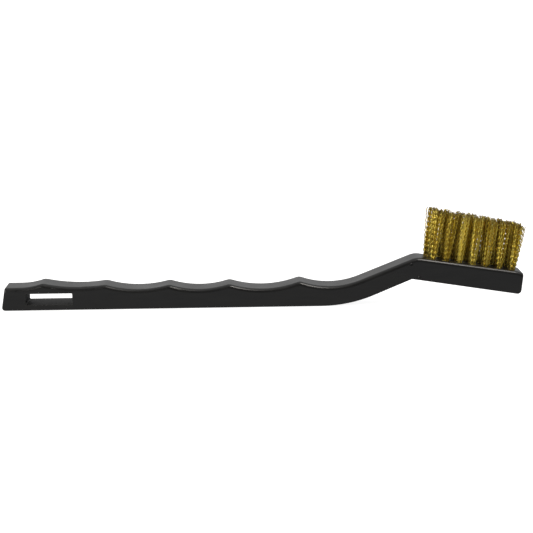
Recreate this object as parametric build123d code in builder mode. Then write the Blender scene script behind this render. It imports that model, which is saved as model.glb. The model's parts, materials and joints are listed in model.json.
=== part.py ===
from build123d import *
import os
from math import atan, cos, radians, sin, tan

# Small hand wire brush: a black moulded handle, its head drilled for three rows of tufts, and in each hole a
# bundle of crimped brass wire folded over a flat anchor. Millimetres. +Z is the way the bristles point,
# +X runs from the butt to the head, and the flat spine of the handle lies on Z = 0.

# ---- Driving dimensions ----

overall_length = 184.0
width = 10.4

# The butt end leans forward over its height.
butt_lean = 9.6
butt_height = 8.12
butt_plateau = 6.3
butt_corner_radius = 1.1

# Finger crests along the top of the grip: (distance from the butt, height), and how deep each hollow
# between two crests is below the straight line that joins them.
crests = [(14.3, 9.57), (36.4, 8.78), (58.9, 8.5), (80.1, 8.4), (105.0, 9.04)]
hollow_depths = [1.03, 1.63, 1.71, 2.17]
crest_radius = 3.0
crest_match = 0.01

# The neck rises from the flat spine, and the head slopes back down from it.
spine_end = 122.4
spine_bend_radius = 48.0
neck_corner = (144.55, 9.28)
neck_top_start = (126.4, 9.12)
bend_corner = (146.1, 16.99)
bend_radius = 6.5
head_top_slope = 0.1526
head_top_end = (184.05, 10.5)
head_foot_end = (183.3, 3.12)
head_foot_radius = 1.4

# The last stretch of the head's top curves down to its end.
head_roll = 3.0

# The top has a large edge radius all the way from the butt to the head's end, and the other edges a small one.
top_edge_radius = 1.4
edge_radius = 0.5

# Hang slot through the grip near the butt.
slot_start = 8.4
slot_end = 24.85
slot_foot = 1.9
slot_top = 6.05
slot_corner_radius = 0.35

# Round gate marks on one side face, each a low dome in a shallow round recess: (distance from the butt,
# height) and the recess's radius.
gate_marks = {(144.2, 14.7): 0.55, (147.0, 10.0): 0.9}
gate_depth = 0.12
dome_radius = 0.48
dome_rise = 0.32

# Three rows of tufts close together, drilled a little askew: each row starts nearer to the neck than the row
# in front of it.
tufts_per_row = 7
tuft_pitch = 4.76
row_spacing = 2.2
row_shift = -1.0
rows = {"front": -1, "middle": 0, "back": 1}
field_centre = 165.4
hole_radius = 1.0
hole_depth = 5.0
hole_play = 0.02

# Each tuft flares into an oval, the outer rows fan out a little, and one slanting plane trims them all.
trim_height = 16.64
trim_slope = 1.9
tip_half_length = 2.15
tip_half_width = 1.4
tip_row_spacing = 2.9
tip_rake = -0.5
tip_plane_height = trim_height + 1.5

# Flat anchor wire, driven across the fold of each tuft and biting into both sides of its hole.
anchor_length = 2.7
anchor_thickness = 0.4
anchor_height = 1.8
fold_height = 0.6

# A face whose normal rises at least this much belongs to the top of the handle.
top_face_rise = 0.5

# ---- Places worked out from them ----

side_view = Plane(origin=(-overall_length / 2, 0, 0), x_dir=(1, 0, 0), z_dir=(0, -1, 0))
butt_foot_x = (1 - tan(radians(45 + butt_lean / 2))) * butt_corner_radius
butt_top = (butt_foot_x + butt_height * tan(radians(butt_lean)), butt_height)


def head_top_height(x):
    """Height of the straight part of the head's top, at this distance from the butt."""
    return bend_corner[1] - head_top_slope * (x - bend_corner[0])


roll_start = (head_top_end[0] - head_roll, head_top_height(head_top_end[0] - head_roll))
head_angle = atan(head_top_slope)

head_face = Plane(
    origin=(field_centre - overall_length / 2, 0, head_top_height(field_centre)),
    x_dir=(cos(head_angle), 0, -sin(head_angle)),
    z_dir=(sin(head_angle), 0, cos(head_angle)),
)
trim_face = head_face.offset(trim_height).rotated((0, trim_slope, 0))
anchor_depth = hole_depth - fold_height - anchor_height / 2
dome_curve = (dome_radius**2 + dome_rise**2) / (2 * dome_rise)


def tuft_spots(row):
    """Places of one row's tufts on the face of the head, for a row that is this many rows behind the middle."""
    first = row * row_shift - (tufts_per_row - 1) / 2 * tuft_pitch
    return [(first + index * tuft_pitch, row * row_spacing) for index in range(tufts_per_row)]


all_spots = [spot for row in rows.values() for spot in tuft_spots(row)]

# ---- Handle ----

# Side outline, walked from the butt along the spine to the head and back over the crests.
with BuildSketch(side_view) as outline:
    with BuildLine():
        FilletPolyline((butt_foot_x, 0), (spine_end, 0), neck_corner, radius=spine_bend_radius)
        Line(neck_corner, head_foot_end)
        Line(head_foot_end, head_top_end)
        TangentArc(roll_start, head_top_end, tangent=(1, -head_top_slope))
        FilletPolyline(roll_start, bend_corner, neck_top_start, radius=bend_radius)
        down_neck = (neck_top_start[0] - bend_corner[0], neck_top_start[1] - bend_corner[1])
        TangentArc(neck_top_start, crests[-1], tangent=down_neck)
        for start, end, depth in zip(crests, crests[1:], hollow_depths):
            SagittaArc(start, end, -depth)
        TangentArc((butt_plateau, butt_height), crests[0], tangent=(1, 0))
        Line(butt_top, (butt_plateau, butt_height))
        Line((butt_foot_x, 0), butt_top)
    make_face()
    crest_places = [x for x, height in crests]
    crest_corners = [v for v in outline.vertices() if min(abs(v.X - x) for x in crest_places) < crest_match]
    fillet(crest_corners, radius=crest_radius)

half_width = width / 2

with BuildPart() as handle:
    extrude(outline.sketch, amount=half_width, both=True)
    cross_edges = handle.edges().filter_by(Axis.Y).sort_by(Axis.X)
    fillet(cross_edges[0], radius=butt_corner_radius)
    fillet(cross_edges[-2:].sort_by(Axis.Z)[0], radius=head_foot_radius)
    top_faces = handle.faces().filter_by(lambda face: face.normal_at().Z > top_face_rise)
    contour = top_faces.edges().filter_by(lambda edge: abs(edge.center().Y) > half_width / 2)
    fillet(contour, radius=top_edge_radius)
    # The edge at either end of the top runs on, smoothly, down the end face and along the underside.
    cross_edges = handle.edges().filter_by(Axis.Y).sort_by(Axis.X)
    top_ends = cross_edges.filter_by(lambda edge: edge.length < width - top_edge_radius)
    fillet([top_ends[0], top_ends[-1]], radius=edge_radius)
    with BuildSketch(side_view):
        with Locations(((slot_start + slot_end) / 2, (slot_foot + slot_top) / 2)):
            RectangleRounded(slot_end - slot_start, slot_top - slot_foot, slot_corner_radius)
    extrude(amount=width, both=True, mode=Mode.SUBTRACT)
    with BuildSketch(head_face):
        with Locations(*all_spots):
            Circle(hole_radius)
    extrude(amount=-hole_depth, mode=Mode.SUBTRACT)
    with BuildSketch(head_face.offset(-anchor_depth - anchor_height / 2)):
        with Locations(*all_spots):
            Rectangle(anchor_length, anchor_thickness)
    extrude(amount=anchor_height, mode=Mode.SUBTRACT)
    with BuildSketch(side_view.offset(half_width - gate_depth)):
        for place, radius in gate_marks.items():
            with Locations(place):
                Circle(radius)
    extrude(amount=2 * gate_depth, mode=Mode.SUBTRACT)
    with Locations(side_view.offset(half_width - gate_depth + dome_rise - dome_curve)):
        with Locations(*gate_marks):
            Sphere(dome_curve)

handle.part.label = "handle"

# ---- Tufts and anchors ----


def anchor_at(along, across):
    """One flat piece of anchor wire, low in the hole and across it."""
    with BuildPart(head_face.offset(-anchor_depth)) as anchor:
        with Locations((along, across)):
            Box(anchor_length, anchor_thickness, anchor_height)
    return anchor.part


def tuft_at(along, across, tip_across):
    """One bundle of wires: straight in its hole, flared above it, trimmed, and folded over its anchor."""
    with BuildPart() as tuft:
        with BuildSketch(head_face.offset(hole_play - hole_depth)):
            with Locations((along, across)):
                Circle(hole_radius - hole_play)
        extrude(amount=hole_depth - hole_play)
        with BuildSketch(head_face):
            with Locations((along, across)):
                Circle(hole_radius - hole_play)
        with BuildSketch(head_face.offset(tip_plane_height)):
            with Locations((along + tip_rake, tip_across)):
                Ellipse(tip_half_length, tip_half_width)
        loft()
        split(bisect_by=trim_face, keep=Keep.BOTTOM)
        with BuildSketch(head_face.offset(-anchor_depth - anchor_height / 2)):
            with Locations((along, across)):
                Rectangle(anchor_length, anchor_thickness)
        extrude(amount=anchor_height, mode=Mode.SUBTRACT)
    return tuft.part


pieces = [handle.part]
for name, row in rows.items():
    for number, (along, across) in enumerate(tuft_spots(row), start=1):
        tuft = tuft_at(along, across, row * tip_row_spacing)
        tuft.label = f"tuft_{name}_{number}"
        anchor = anchor_at(along, across)
        anchor.label = f"anchor_{name}_{number}"
        pieces += [tuft, anchor]

os.makedirs("parts", exist_ok=True)
for piece in pieces:
    export_step(piece, f"parts/{piece.label}.step")
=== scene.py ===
import json
import math

import bpy
import numpy as np
from mathutils import Matrix, Vector


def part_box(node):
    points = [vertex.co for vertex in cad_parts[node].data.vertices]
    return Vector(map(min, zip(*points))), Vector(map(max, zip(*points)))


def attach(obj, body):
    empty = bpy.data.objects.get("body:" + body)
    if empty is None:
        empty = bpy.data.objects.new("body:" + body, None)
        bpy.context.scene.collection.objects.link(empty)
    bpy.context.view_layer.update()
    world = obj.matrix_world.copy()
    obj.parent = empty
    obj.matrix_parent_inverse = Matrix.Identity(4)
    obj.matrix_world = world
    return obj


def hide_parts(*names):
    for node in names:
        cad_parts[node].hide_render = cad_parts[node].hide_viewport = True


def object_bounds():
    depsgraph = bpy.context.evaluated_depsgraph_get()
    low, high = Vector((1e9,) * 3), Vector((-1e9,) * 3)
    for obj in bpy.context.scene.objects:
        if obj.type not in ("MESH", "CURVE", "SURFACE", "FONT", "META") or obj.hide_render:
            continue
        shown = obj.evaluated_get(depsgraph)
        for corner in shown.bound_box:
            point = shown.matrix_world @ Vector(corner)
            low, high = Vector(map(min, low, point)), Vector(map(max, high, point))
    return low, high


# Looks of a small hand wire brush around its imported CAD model: the moulded handle keeps its CAD mesh and
# gets a satin black plastic, and every tuft is built wire by wire, each wire crimped, folded over its anchor
# and cut along the trim plane. Metres, in the frame of the CAD.

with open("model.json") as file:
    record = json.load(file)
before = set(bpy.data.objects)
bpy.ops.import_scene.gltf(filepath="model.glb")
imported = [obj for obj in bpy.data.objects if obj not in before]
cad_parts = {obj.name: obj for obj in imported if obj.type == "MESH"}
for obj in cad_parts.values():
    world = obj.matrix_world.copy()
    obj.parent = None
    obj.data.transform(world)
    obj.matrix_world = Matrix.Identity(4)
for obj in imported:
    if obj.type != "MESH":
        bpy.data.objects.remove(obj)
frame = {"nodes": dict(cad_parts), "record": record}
nodes = frame["nodes"]
cad_low, cad_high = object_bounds()
brush_middle = (cad_low + cad_high) / 2
MM = 0.001


# ---- Node material helpers ----


def new_material(name):
    """An empty node material with its output and one Principled shader."""
    material = bpy.data.materials.new(name)
    material.use_nodes = True
    tree = material.node_tree
    tree.nodes.clear()
    output = tree.nodes.new("ShaderNodeOutputMaterial")
    shader = tree.nodes.new("ShaderNodeBsdfPrincipled")
    tree.links.new(shader.outputs["BSDF"], output.inputs["Surface"])
    return material, tree, shader


def object_coordinates(tree, stretch=(1, 1, 1)):
    """Object coordinates, squeezed along the axes whose stretch is over 1."""
    texture = tree.nodes.new("ShaderNodeTexCoord")
    mapping = tree.nodes.new("ShaderNodeMapping")
    mapping.inputs["Scale"].default_value = [1 / s for s in stretch]
    tree.links.new(texture.outputs["Object"], mapping.inputs["Vector"])
    return mapping.outputs["Vector"]


def noise(tree, vector, size, detail=3.0, roughness=0.5):
    """Noise whose features are about size metres across."""
    node = tree.nodes.new("ShaderNodeTexNoise")
    node.inputs["Scale"].default_value = 1 / size
    node.inputs["Detail"].default_value = detail
    node.inputs["Roughness"].default_value = roughness
    tree.links.new(vector, node.inputs["Vector"])
    return node.outputs["Fac"]


def spread(tree, value, low, high, start=0.0, end=1.0):
    """value from low..high mapped to start..end, held at both ends."""
    node = tree.nodes.new("ShaderNodeMapRange")
    node.inputs["From Min"].default_value = low
    node.inputs["From Max"].default_value = high
    node.inputs["To Min"].default_value = start
    node.inputs["To Max"].default_value = end
    tree.links.new(value, node.inputs["Value"])
    return node.outputs["Result"]


def smooth(tree, value, low, high, start, end):
    """Like spread, but easing in and out."""
    result = spread(tree, value, low, high, start, end)
    result.node.interpolation_type = "SMOOTHSTEP"
    return result


def mixed(tree, factor, first, second):
    """A colour between first and second, each a link or an RGB triple."""
    node = tree.nodes.new("ShaderNodeMix")
    node.data_type = "RGBA"
    tree.links.new(factor, node.inputs["Factor"])
    for socket, colour in ((node.inputs[6], first), (node.inputs[7], second)):
        if isinstance(colour, tuple):
            socket.default_value = (*colour, 1)
        else:
            tree.links.new(colour, socket)
    return node.outputs[2]


def product(tree, first, second):
    """The product of two linked values."""
    node = tree.nodes.new("ShaderNodeMath")
    node.operation = "MULTIPLY"
    tree.links.new(first, node.inputs[0])
    tree.links.new(second, node.inputs[1])
    return node.outputs["Value"]


def point_value(tree, name):
    """A number that each point of the mesh holds under this name."""
    node = tree.nodes.new("ShaderNodeAttribute")
    node.attribute_name = name
    return node.outputs["Fac"]


def bump(tree, height, strength, distance, under=None):
    """A bump of that height, on top of the one under it."""
    node = tree.nodes.new("ShaderNodeBump")
    node.inputs["Strength"].default_value = strength
    node.inputs["Distance"].default_value = distance
    tree.links.new(height, node.inputs["Height"])
    if under is not None:
        tree.links.new(under, node.inputs["Normal"])
    return node.outputs["Normal"]


# ---- Materials ----


SLOT_REACH = 0.3 * MM  # from the record's box for the hang slot out past the slot's own walls
SLOT_MOUTH = 2.2 * MM  # from either end of that box back to just outside the handle's side
SLOT_FADE = 0.1 * MM  # half the distance over which the look of the walls fades out


def inside_slot(tree):
    """One on the walls of the hang slot, and zero on the rest of the handle."""
    low, high = (Vector(corner) for corner in frame["record"]["physics"]["openings"][0]["box_m"])
    half = (high - low) / 2 + Vector((SLOT_REACH, -SLOT_MOUTH, SLOT_REACH))
    place = tree.nodes.new("ShaderNodeTexCoord")
    shift = tree.nodes.new("ShaderNodeVectorMath")
    shift.operation = "SUBTRACT"
    shift.inputs[1].default_value = (low + high) / 2
    tree.links.new(place.outputs["Object"], shift.inputs[0])
    size = tree.nodes.new("ShaderNodeVectorMath")
    size.operation = "ABSOLUTE"
    tree.links.new(shift.outputs["Vector"], size.inputs[0])
    parts = tree.nodes.new("ShaderNodeSeparateXYZ")
    tree.links.new(size.outputs["Vector"], parts.inputs["Vector"])
    near_x, near_y, near_z = (
        spread(tree, parts.outputs[axis], reach - SLOT_FADE, reach + SLOT_FADE, start=1.0, end=0.0)
        for axis, reach in zip("XYZ", half)
    )
    return product(tree, product(tree, near_x, near_y), near_z)


def handle_plastic():
    """Satin black moulded plastic: fine mould grain, long faint flow lines and patches rubbed smoother."""
    cold_black = (0.0045, 0.0045, 0.0048)
    warm_black = (0.0075, 0.0074, 0.0072)
    slot_roughness = (0.62, 0.62, 0.62)
    material, tree, shader = new_material("handle_plastic")
    place = object_coordinates(tree)
    along = object_coordinates(tree, stretch=(9, 1, 1))
    grain = noise(tree, place, 0.22 * MM, detail=2.0)
    flow = noise(tree, along, 1.1 * MM, detail=4.0, roughness=0.6)
    rubbed = noise(tree, place, 9 * MM, detail=4.0, roughness=0.6)
    tone = mixed(tree, spread(tree, flow, 0.35, 0.7), cold_black, warm_black)
    tree.links.new(tone, shader.inputs["Base Color"])
    moulded = spread(tree, rubbed, 0.3, 0.7, start=0.27, end=0.36)
    roughness = mixed(tree, inside_slot(tree), moulded, slot_roughness)
    tree.links.new(roughness, shader.inputs["Roughness"])
    shader.inputs["IOR"].default_value = 1.5
    flow_bump = bump(tree, flow, strength=0.25, distance=0.03 * MM)
    surface = bump(tree, grain, strength=0.35, distance=0.02 * MM, under=flow_bump)
    tree.links.new(surface, shader.inputs["Normal"])
    return material


def brass_wire():
    """Drawn brass wire: every wire has its own tint, with tarnish in patches; the wires are darker towards
    the cut tips, and painted shade darkens their roots."""
    pale_brass = (1.0, 0.82, 0.16)
    deep_brass = (0.42, 0.27, 0.02)
    tarnish = (0.36, 0.25, 0.05)
    # Dark colour of the painted shade at the roots of the wires, standing in for shadow between the tufts.
    root_shade = (0.08, 0.06, 0.03)
    # Colours for the wires drawn darker towards their cut tips, darkest on their last bit.
    darker_tip = (0.24, 0.19, 0.08)
    cut_end = (0.08, 0.065, 0.03)
    material, tree, shader = new_material("brass_wire")
    rise = point_value(tree, "rise")
    place = object_coordinates(tree)
    patches = noise(tree, place, 1.6 * MM, detail=3.0)
    fine = noise(tree, place, 0.12 * MM, detail=2.0)
    wire = mixed(tree, spread(tree, point_value(tree, "tint"), 0.3, 0.75), pale_brass, deep_brass)
    dull = mixed(tree, spread(tree, patches, 0.48, 0.72, end=0.6), wire, tarnish)
    # Painted shade at the roots, strongest in the middle and back rows.
    root_shaded = mixed(tree, point_value(tree, "root_shade"), dull, root_shade)
    # Darker towards the cut tips, darkest on the last bit of each wire.
    tipped = mixed(tree, spread(tree, rise, 0.88, 1.0, end=0.5), root_shaded, darker_tip)
    tone = mixed(tree, spread(tree, rise, 0.98, 1.0, end=0.8), tipped, cut_end)
    tree.links.new(tone, shader.inputs["Base Color"])
    shader.inputs["Metallic"].default_value = 1.0
    tree.links.new(spread(tree, patches, 0.35, 0.7, start=0.3, end=0.42), shader.inputs["Roughness"])
    tree.links.new(bump(tree, fine, strength=0.15, distance=0.01 * MM), shader.inputs["Normal"])
    return material


def anchor_steel():
    """Flat steel anchor wire with rolling lines."""
    dark_steel = (0.46, 0.46, 0.45)
    pale_steel = (0.60, 0.60, 0.59)
    material, tree, shader = new_material("anchor_steel")
    along = object_coordinates(tree, stretch=(12, 1, 1))
    lines = noise(tree, along, 0.25 * MM, detail=4.0)
    tone = mixed(tree, spread(tree, lines, 0.3, 0.7), dark_steel, pale_steel)
    tree.links.new(tone, shader.inputs["Base Color"])
    shader.inputs["Metallic"].default_value = 1.0
    tree.links.new(spread(tree, lines, 0.3, 0.7, start=0.28, end=0.42), shader.inputs["Roughness"])
    tree.links.new(bump(tree, lines, strength=0.3, distance=0.01 * MM), shader.inputs["Normal"])
    return material


def floor_white():
    """A white table lit from below, as a light table is, so that the brush casts next to no shadow."""
    material, tree, shader = new_material("floor_white")
    shader.inputs["Base Color"].default_value = (0.5, 0.5, 0.5, 1)
    shader.inputs["Roughness"].default_value = 0.9
    shader.inputs["Specular IOR Level"].default_value = 0.0
    shader.inputs["Emission Color"].default_value = (1, 1, 1, 1)
    shader.inputs["Emission Strength"].default_value = 0.92
    return material


# ---- Where the tufts stand ----

SPOTS = sorted(name.removeprefix("tuft_") for name in nodes if name.startswith("tuft_"))
FRONT = [spot for spot in SPOTS if spot.startswith("front")]
ANCHOR_DEPTH = 3.5 * MM  # from the face of the head down to the middle of an anchor


def centre(node):
    """Middle of a CAD node's box."""
    low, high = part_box(node)
    return (low + high) / 2


row_run = centre(f"anchor_{FRONT[-1]}") - centre(f"anchor_{FRONT[0]}")
HEAD_ALONG = np.array(row_run.normalized())
HEAD_ACROSS = np.array((0.0, 1.0, 0.0))
HEAD_OUT = np.cross(HEAD_ALONG, HEAD_ACROSS)
LAST_TIPS = np.array(centre(f"anchor_{FRONT[-1]}")) @ HEAD_ALONG  # place of the front row's last tuft
TRIM_BAND = 0.3 * MM  # points this near to a tuft's highest one belong to its trimmed end


def trim_line():
    """Slope and start of the trim line: how far out it lies, against the place along the head."""
    places = []
    for spot in SPOTS:
        points = np.array([v.co for v in nodes[f"tuft_{spot}"].data.vertices])
        out = points @ HEAD_OUT
        top = points[out > out.max() - TRIM_BAND]
        places.append(np.column_stack([top @ HEAD_ALONG, top @ HEAD_OUT]))
    places = np.concatenate(places)
    return np.polyfit(places[:, 0], places[:, 1], 1)


trim_slope, trim_start = trim_line()

# ---- Wires ----

WIRE_RADIUS = 0.15 * MM
WIRE_SIDES = 8
LEGS_PER_SIDE = 12
LEG_STEPS = 50
FOLD_POINTS = 7

# In the hole: each wire is folded under the anchor, which lies across the hole.
HOLE_RADIUS = 0.98 * MM
HOLE_ROOM = HOLE_RADIUS - WIRE_RADIUS
ANCHOR_HALF = 0.2 * MM
ANCHOR_FOOT = 0.9 * MM  # from the middle of an anchor to its lower edge
FOLD_SAG = 0.1 * MM  # how far under the anchor the fold of the innermost wire hangs
FOLD_ROOM = 0.5 * MM  # how much further down that of the outermost wire hangs
PUSH_ROUNDS = 30

# Above it: a tuft flares into an oval, and its wires stray from their places.
TIP_HALF_LENGTH = 2.15 * MM
TIP_HALF_WIDTH = 1.4 * MM
TIP_SPREAD = np.array((TIP_HALF_LENGTH, TIP_HALF_WIDTH)) / HOLE_RADIUS
TIP_SCATTER = 0.24 * MM
TIP_LIMIT = 1.02  # how far out a tip may stray, as a part of the oval's own reach
LENGTH_SCATTER = 0.28 * MM
ROW_FAN = 0.32  # how much further out the tips of a side row are than its holes, as a part of their distance
RAKE = -0.5 * MM  # how far the tips lean back towards the neck
TUFT_LEAN = 0.15 * MM  # how far the tips of a whole tuft stray to either side
END_LEANS = {"1": 0.25 * MM, "7": 0.35 * MM}  # how far the first and last tufts lean towards the head's end
SPLAY_START = 0.85  # under 1, the wires bend apart mostly near the head; over 1, mostly near the tips
END_WEAR = 0.45  # extra fall of the trim past the last tufts' middle, where the end of the brush is worn

# The crimp is a wave along the wire, mostly in one plane, which is nearly the same for a whole tuft.
CRIMP_LENGTH = 1.8 * MM
CRIMP_STRETCH = 0.03
CRIMP_DEPTH = 0.18 * MM
CRIMP_SIZES = (0.75, 1.3)
CRIMP_RISE = 1.2 * MM  # how far out of the head a wire has its full crimp
ROOT_CRIMP = 0.2  # how much of the crimp is left at the head
CROSS_CRIMP = 0.35  # depth of the wave across that plane, as a part of the main one
PLANE_RANGE = 0.6
PLANE_SCATTER = 0.3
PHASE_SCATTER = 0.25

# Painted shade: the roots of the inner rows are drawn dark, as shadow between the tufts would make them.
ROOT_SHADE = {"front": 0.2, "middle": 0.7, "back": 0.7}  # how much painted shade each row gets at its roots
ROOT_SHADE_TOP = 0.36  # how far up the wires the painted shade reaches


def half_disc(random, count):
    """Places of the wires in the half of a hole beside the anchor, the nearest to the anchor first."""
    places = []
    clear = ANCHOR_HALF + WIRE_RADIUS
    while len(places) < count:
        u = random.uniform(-1, 1)
        v = random.uniform(0, 1)
        if u * u + v * v < 1:
            spot = np.array((u * HOLE_ROOM, clear + v * (HOLE_ROOM - clear)))
            if np.hypot(*spot) < HOLE_ROOM:
                places.append(spot)
    places = np.array(places)
    # Near neighbours push each other apart, each by half of what is missing between them.
    for _ in range(PUSH_ROUNDS):
        gap = places[:, None] - places[None]
        far = np.linalg.norm(gap, axis=2) + np.eye(count)  # a place isn't its own neighbour
        push = np.clip(2 * WIRE_RADIUS - far, 0, None) / far
        places = places + 0.5 * (gap * push[:, :, None]).sum(1)
        places[:, 1] = np.maximum(places[:, 1], clear)
        reach = np.linalg.norm(places, axis=1)
        places *= np.minimum(1, HOLE_ROOM / reach)[:, None]
    return places[np.argsort(places[:, 1])]


def leg_path(random, spot, tuft_centre, lean, phase, turn):
    """Points of one leg from the hole's mouth to its cut tip, with how far up each one is from 0 to 1."""
    middle = np.array((RAKE, ROW_FAN * tuft_centre[1])) + lean
    tip = middle + spot * TIP_SPREAD + random.normal(0, TIP_SCATTER, 2)
    over = np.linalg.norm((tip - middle) / (TIP_SPREAD * HOLE_RADIUS))
    tip = middle + (tip - middle) * min(1, TIP_LIMIT / over)
    mouth_out = tuft_centre @ HEAD_OUT
    tip_along = tuft_centre @ HEAD_ALONG + tip[0]
    worn = END_WEAR * max(0, tip_along - LAST_TIPS)
    length = trim_start + trim_slope * tip_along - mouth_out - worn + random.normal(0, LENGTH_SCATTER)
    steps = np.linspace(0, 1, LEG_STEPS + 1)
    out = steps * length
    bow = steps**SPLAY_START
    sideways = spot[None] * (1 - bow[:, None]) + tip[None] * bow[:, None]
    plane = turn + random.normal(0, PLANE_SCATTER)
    size = CRIMP_DEPTH * random.uniform(*CRIMP_SIZES) * np.clip(out / CRIMP_RISE, ROOT_CRIMP, 1)
    crimp = CRIMP_LENGTH * random.uniform(1 - CRIMP_STRETCH, 1 + CRIMP_STRETCH)
    swing = 2 * math.pi * out / crimp + phase + random.normal(0, PHASE_SCATTER)
    wave = size * np.sin(swing)
    cross_wave = CROSS_CRIMP * size * np.sin(swing + random.uniform(0, 2 * math.pi))
    sideways[:, 0] += wave * math.cos(plane) - cross_wave * math.sin(plane)
    sideways[:, 1] += wave * math.sin(plane) + cross_wave * math.cos(plane)
    points = tuft_centre + out[:, None] * HEAD_OUT
    points = points + sideways[:, :1] * HEAD_ALONG + sideways[:, 1:] * HEAD_ACROSS
    return points, steps


def fold_path(left, right, tuft_centre):
    """Points of the fold inside the hole, from the left leg round under the anchor to the right leg."""
    foot = -ANCHOR_DEPTH - ANCHOR_FOOT
    widest = HOLE_RADIUS - ANCHOR_HALF
    sag = FOLD_SAG + FOLD_ROOM * (abs(left[1]) - ANCHOR_HALF) / widest
    turns = np.linspace(0, math.pi, FOLD_POINTS)
    middle = (left + right) / 2
    half = (left - right) / 2
    sideways = middle + half * np.cos(turns)[:, None]
    out = foot - sag * np.sin(turns)
    points = tuft_centre + out[:, None] * HEAD_OUT
    return points + sideways[:, :1] * HEAD_ALONG + sideways[:, 1:] * HEAD_ACROSS


OFF_WIRE = HEAD_ALONG + 0.3 * HEAD_ACROSS  # a direction in which no wire ends


def tube(points, radius, sides):
    """Rings of a tube round a path, which turn as little as they can from one to the next."""
    tangents = np.gradient(points, axis=0)
    tangents /= np.linalg.norm(tangents, axis=1)[:, None]
    side = np.cross(tangents[0], OFF_WIRE)
    angles = np.arange(sides) * 2 * math.pi / sides
    rings = []
    for point, tangent in zip(points, tangents):
        side = side - tangent * (side @ tangent)
        side /= np.linalg.norm(side)
        other = np.cross(tangent, side)
        rings.append(point + radius * (np.cos(angles)[:, None] * side + np.sin(angles)[:, None] * other))
    return np.concatenate(rings)


def tube_faces(first, rings, sides):
    """Quads between the rings and a flat cap on each cut end."""
    faces = []
    for ring in range(rings - 1):
        low = first + ring * sides
        for k in range(sides):
            after = (k + 1) % sides
            faces.append((low + k, low + after, low + sides + after, low + sides + k))
    caps = [
        tuple(first + k for k in reversed(range(sides))),
        tuple(first + (rings - 1) * sides + k for k in range(sides)),
    ]
    return faces, caps


# The third argument sets how much painted shade the roots of the wires get.
def tuft_mesh(name, tuft_centre, root_shade_level, seed):
    """One tuft as a mesh: a bundle of crimped wires, each folded in the middle under its anchor."""
    random = np.random.default_rng(seed)
    one_side = half_disc(random, LEGS_PER_SIDE)
    other_side = half_disc(random, LEGS_PER_SIDE) * (1, -1)
    phase = random.uniform(0, 2 * math.pi)
    turn = random.uniform(-PLANE_RANGE, PLANE_RANGE)
    lean = random.normal(0, TUFT_LEAN, 2)
    lean[0] = END_LEANS.get(name[-1], lean[0])
    points = []
    faces = []
    caps = []
    tints = []
    rises = []
    count = 0
    for left, right in zip(one_side, other_side):
        left_points, left_rise = leg_path(random, left, tuft_centre, lean, phase, turn)
        right_points, right_rise = leg_path(random, right, tuft_centre, lean, phase + math.pi / 2, turn)
        fold = fold_path(left, right, tuft_centre)
        path = np.concatenate([left_points[::-1], fold, right_points])
        rise = np.concatenate([left_rise[::-1], np.zeros(len(fold)), right_rise])
        ring_points = tube(path, WIRE_RADIUS, WIRE_SIDES)
        wire_faces, wire_caps = tube_faces(count, len(path), WIRE_SIDES)
        points.append(ring_points)
        faces += wire_faces
        caps += wire_caps
        tints.append(np.full(len(ring_points), random.uniform(0, 1)))
        rises.append(np.repeat(rise, WIRE_SIDES))
        count += len(ring_points)
    mesh = bpy.data.meshes.new(name)
    mesh.from_pydata(np.concatenate(points).tolist(), [], faces + caps)
    mesh.polygons.foreach_set("use_smooth", [True] * len(faces) + [False] * len(caps))
    # Painted shade, fading out from the roots a little way up the wires.
    root_shades = [root_shade_level * np.clip(1 - rise / ROOT_SHADE_TOP, 0, 1) for rise in rises]
    for label, values in (("tint", tints), ("rise", rises), ("root_shade", root_shades)):
        attribute = mesh.attributes.new(label, "FLOAT", "POINT")
        attribute.data.foreach_set("value", np.concatenate(values).astype(np.float32))
    mesh.validate()
    mesh.update()
    return mesh


# ---- The brush ----


def finish_node(node, material):
    """Gives a CAD node its material in every slot."""
    slots = nodes[node].data.materials
    slots.clear()
    slots.append(material)


FIRST_SEED = 12
brass = brass_wire()
steel = anchor_steel()
finish_node("handle", handle_plastic())

for seed, spot in enumerate(SPOTS, start=FIRST_SEED):
    mouth = np.array(centre(f"anchor_{spot}")) + ANCHOR_DEPTH * HEAD_OUT
    row = spot.split("_")[0]
    # Each row gets its own amount of painted shade at the roots.
    mesh = tuft_mesh(f"wires_{spot}", mouth, ROOT_SHADE[row], seed)
    mesh.materials.append(brass)
    tuft = bpy.data.objects.new(f"wires_{spot}", mesh)
    bpy.context.scene.collection.objects.link(tuft)
    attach(tuft, "root")
    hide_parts(f"tuft_{spot}")
    finish_node(f"anchor_{spot}", steel)

# ---- Floor ----

FLOOR_HALF = 12.0
FLOOR_GAP = 0.2 * MM
corners = [(x * FLOOR_HALF, y * FLOOR_HALF, 0) for x, y in ((-1, -1), (1, -1), (1, 1), (-1, 1))]
floor_mesh = bpy.data.meshes.new("floor")
floor_mesh.from_pydata(corners, [], [(0, 1, 2, 3)])
floor_mesh.materials.append(floor_white())
floor = bpy.data.objects.new("floor", floor_mesh)
floor.location.z = cad_low.z - FLOOR_GAP
floor.visible_glossy = False
floor.visible_diffuse = False
bpy.context.scene.collection.objects.link(floor)

# ---- Light ----


def direction(azimuth, elevation):
    """Unit vector away from the brush at that azimuth and elevation, in radians; azimuth 0 is in front."""
    level = math.cos(elevation)
    return Vector((math.sin(azimuth) * level, -math.cos(azimuth) * level, math.sin(elevation)))


def area_light(name, azimuth, elevation, distance, size, power, colour):
    """A square soft box that faces the middle of the brush."""
    lamp = bpy.data.lights.new(name, "AREA")
    lamp.size = size
    lamp.energy = power
    lamp.color = colour
    light = bpy.data.objects.new(name, lamp)
    away = direction(math.radians(azimuth), math.radians(elevation))
    light.location = brush_middle + distance * away
    light.rotation_euler = away.to_track_quat("Z", "Y").to_euler()
    bpy.context.scene.collection.objects.link(light)


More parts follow.
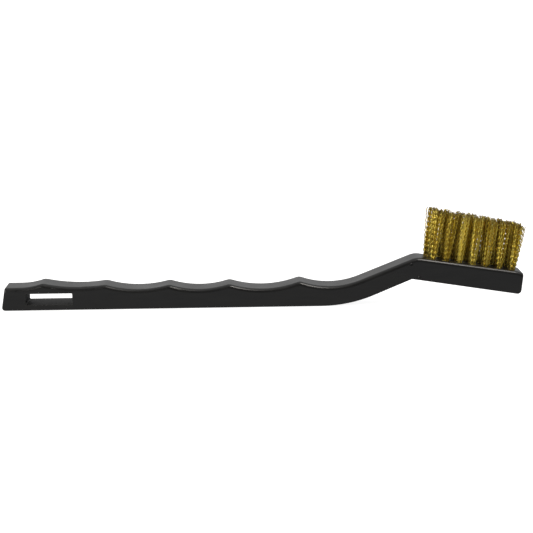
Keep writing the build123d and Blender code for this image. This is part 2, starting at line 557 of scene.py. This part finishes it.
area_light("key", azimuth=47, elevation=62, distance=0.9, size=0.25, power=3.4, colour=(1.0, 0.96, 0.9))
area_light("side", azimuth=-50, elevation=20, distance=0.9, size=0.3, power=5.0, colour=(1.0, 0.97, 0.92))

# Light levels of the room: in front of the brush, above and behind it, and of the table, near and far.
FRONT_LIGHT = 0.10
BACK_LIGHT = 0.66
TABLE_LIGHT = 0.47
FAR_TABLE_LIGHT = 0.25
BACKWARD = 0.8  # how much looking backward counts towards the bright part, against looking up
CAMERA_LIGHT = 1.05


def studio_world():
    """A room that is bright above and behind the brush and dim in front of it, over a pale table; the camera
    itself sees plain white."""
    world = bpy.data.worlds.new("studio")
    world.use_nodes = True
    tree = world.node_tree
    place = tree.nodes.new("ShaderNodeTexCoord")
    parts = tree.nodes.new("ShaderNodeSeparateXYZ")
    tree.links.new(place.outputs["Generated"], parts.inputs["Vector"])
    lean = tree.nodes.new("ShaderNodeMath")
    lean.operation = "MULTIPLY_ADD"
    lean.inputs[1].default_value = BACKWARD
    tree.links.new(parts.outputs["Y"], lean.inputs[0])
    tree.links.new(parts.outputs["Z"], lean.inputs[2])
    over = smooth(tree, lean.outputs["Value"], 0.3, 0.9, start=FRONT_LIGHT, end=BACK_LIGHT)
    table = smooth(tree, parts.outputs["Y"], -0.95, -0.3, start=TABLE_LIGHT, end=FAR_TABLE_LIGHT)
    under = smooth(tree, parts.outputs["Z"], -0.08, 0.16, start=1.0, end=0.0)
    level = mixed(tree, under, over, table)
    room = tree.nodes["Background"]
    tree.links.new(level, room.inputs["Color"])
    plain = tree.nodes.new("ShaderNodeBackground")
    plain.inputs["Color"].default_value = (1, 1, 1, 1)
    plain.inputs["Strength"].default_value = CAMERA_LIGHT
    rays = tree.nodes.new("ShaderNodeLightPath")
    choose = tree.nodes.new("ShaderNodeMixShader")
    tree.links.new(rays.outputs["Is Camera Ray"], choose.inputs["Fac"])
    tree.links.new(room.outputs["Background"], choose.inputs[1])
    tree.links.new(plain.outputs["Background"], choose.inputs[2])
    tree.links.new(choose.outputs["Shader"], tree.nodes["World Output"].inputs["Surface"])
    return world


bpy.context.scene.world = studio_world()

# ---- Camera ----

VIEW_AZIMUTH = math.radians(-1.02)
VIEW_ELEVATION = math.radians(12.6)
VIEW_ROLL = math.radians(0.63)
VIEW_DISTANCE = 0.468
AIM_SHIFT = Vector((1.106, 0.1, -3.336)) * MM  # from the middle of the brush to where the camera looks
LENS = 89.1
SENSOR_WIDTH = 36

camera_data = bpy.data.cameras.new("camera")
camera_data.lens = LENS
camera_data.sensor_width = SENSOR_WIDTH
camera = bpy.data.objects.new("camera", camera_data)
away = direction(VIEW_AZIMUTH, VIEW_ELEVATION)
camera.location = brush_middle + AIM_SHIFT + VIEW_DISTANCE * away
look = away.to_track_quat("Z", "Y")
camera.rotation_euler = (look.to_matrix() @ Matrix.Rotation(-VIEW_ROLL, 3, "Z")).to_euler()
bpy.context.scene.collection.objects.link(camera)
bpy.context.scene.camera = camera
bpy.context.scene.view_settings.view_transform = "Standard"
